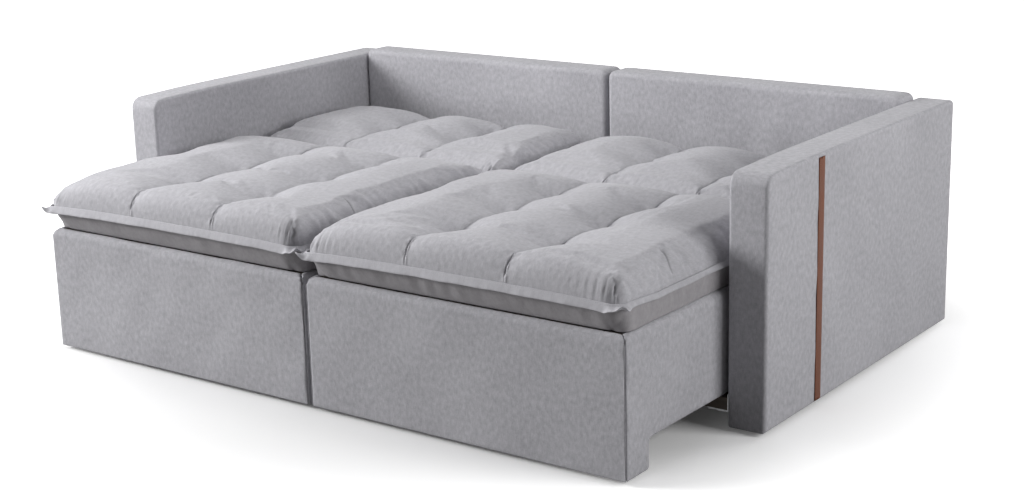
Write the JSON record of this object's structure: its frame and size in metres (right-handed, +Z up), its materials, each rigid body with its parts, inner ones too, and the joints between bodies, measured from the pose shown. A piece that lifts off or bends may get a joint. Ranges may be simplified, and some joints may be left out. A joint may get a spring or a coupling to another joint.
{
  "type": "sofa bed",
  "caption": "Upholstered sofa bed set out as a bed: slab arms, low back panels and tufted pillow-top seat modules that slide in while their back pads fold up.",
  "frame": {"origin": "on the floor, in the middle of the bounding box's width and depth", "axes": "+X to the right as seen from the front, +Y to the back, +Z up. A person sits facing -Y."},
  "size_m": [2.204, 1.585, 0.683],
  "materials": {
    "fabric": "matte",
    "core_fabric": "matte",
    "hem_fabric": "matte",
    "webbing": "matte",
    "strap_leather": "satin",
    "timber": "matte",
    "dark_timber": "matte",
    "plywood": "matte",
    "dark_steel": "satin",
    "zinc_steel": "satin",
    "plastic_feet": "matte",
    "wheel_rubber": "matte"
  },
  "bodies": {
    "base": {"crossbeams": "dark_timber", "beam_hangers": "dark_steel", "beam_bolts": "zinc_steel", "glides": "plastic_feet", "shelf_brackets": "dark_steel", "arm_cover_left": "fabric", "arm_frame_left": "timber", "arm_strap_left": "strap_leather", "back_cover_left": "fabric", "back_frame_left": "timber", "seat_tracks_left": "dark_steel", "back_shelf_left": "dark_timber", "arm_cover_right": "fabric", "arm_frame_right": "timber", "arm_strap_right": "strap_leather", "back_cover_right": "fabric", "back_frame_right": "timber", "seat_tracks_right": "dark_steel", "back_shelf_right": "dark_timber"},
    "seat_left": {"seat_front_panel_left": "fabric", "seat_side_panels_left": "fabric", "seat_frame_left": "timber", "seat_webbing_left": "webbing", "seat_core_left": "core_fabric", "seat_hem_left": "hem_fabric", "seat_pillow_left": "fabric", "hinge_arms_left": "dark_steel", "wheel_brackets_left": "dark_steel"},
    "seat_right": {"seat_front_panel_right": "fabric", "seat_side_panels_right": "fabric", "seat_frame_right": "timber", "seat_webbing_right": "webbing", "seat_core_right": "core_fabric", "seat_hem_right": "hem_fabric", "seat_pillow_right": "fabric", "hinge_arms_right": "dark_steel", "wheel_brackets_right": "dark_steel"},
    "back_pad_left": {"back_core_left": "core_fabric", "back_hem_left": "hem_fabric", "back_pillow_left": "fabric", "back_board_left": "plywood", "hinge_brackets_left": "zinc_steel", "hinge_pins_left": "zinc_steel"},
    "back_pad_right": {"back_core_right": "core_fabric", "back_hem_right": "hem_fabric", "back_pillow_right": "fabric", "back_board_right": "plywood", "hinge_brackets_right": "zinc_steel", "hinge_pins_right": "zinc_steel"},
    "front_wheels_left": {"front_wheels_left": "wheel_rubber"},
    "rear_rollers_left": {"rear_rollers_left": "wheel_rubber"},
    "front_wheels_right": {"front_wheels_right": "wheel_rubber"},
    "rear_rollers_right": {"rear_rollers_right": "wheel_rubber"}
  },
  "joints": [
    {"name": "seat_slide_left", "type": "slide", "parent": "base", "child": "seat_left", "axis": [0, 1, 0], "range_m": [0, 0.34]},
    {"name": "back_fold_left", "type": "hinge", "parent": "seat_left", "child": "back_pad_left", "pos_m": [-0.491, 0.1625, 0.41], "axis": [1, 0, 0], "range_deg": [0, 82]},
    {"name": "wheel_roll_left", "type": "hinge", "parent": "seat_left", "child": "front_wheels_left", "pos_m": [-0.491, -0.7145, 0.025], "axis": [-1, 0, 0], "range_deg": [0, 779.3]},
    {"name": "roller_roll_left", "type": "hinge", "parent": "seat_left", "child": "rear_rollers_left", "pos_m": [-0.491, 0.03374, 0.1013], "axis": [-1, 0, 0], "range_deg": [0, 1082.3]},
    {"name": "seat_slide_right", "type": "slide", "parent": "base", "child": "seat_right", "axis": [0, 1, 0], "range_m": [0, 0.34]},
    {"name": "back_fold_right", "type": "hinge", "parent": "seat_right", "child": "back_pad_right", "pos_m": [0.491, 0.1625, 0.41], "axis": [1, 0, 0], "range_deg": [0, 82]},
    {"name": "wheel_roll_right", "type": "hinge", "parent": "seat_right", "child": "front_wheels_right", "pos_m": [0.491, -0.7145, 0.025], "axis": [-1, 0, 0], "range_deg": [0, 779.3]},
    {"name": "roller_roll_right", "type": "hinge", "parent": "seat_right", "child": "rear_rollers_right", "pos_m": [0.491, 0.03374, 0.1013], "axis": [-1, 0, 0], "range_deg": [0, 1082.3]}
  ],
  "couplings": [
    {"joint": "back_fold_left", "follows": "seat_slide_left", "rad_per_m": 4.2093},
    {"joint": "wheel_roll_left", "follows": "seat_slide_left", "rad_per_m": 40},
    {"joint": "roller_roll_left", "follows": "seat_slide_left", "rad_per_m": 55.555},
    {"joint": "back_fold_right", "follows": "seat_slide_right", "rad_per_m": 4.2093},
    {"joint": "wheel_roll_right", "follows": "seat_slide_right", "rad_per_m": 40},
    {"joint": "roller_roll_right", "follows": "seat_slide_right", "rad_per_m": 55.555}
  ]
}
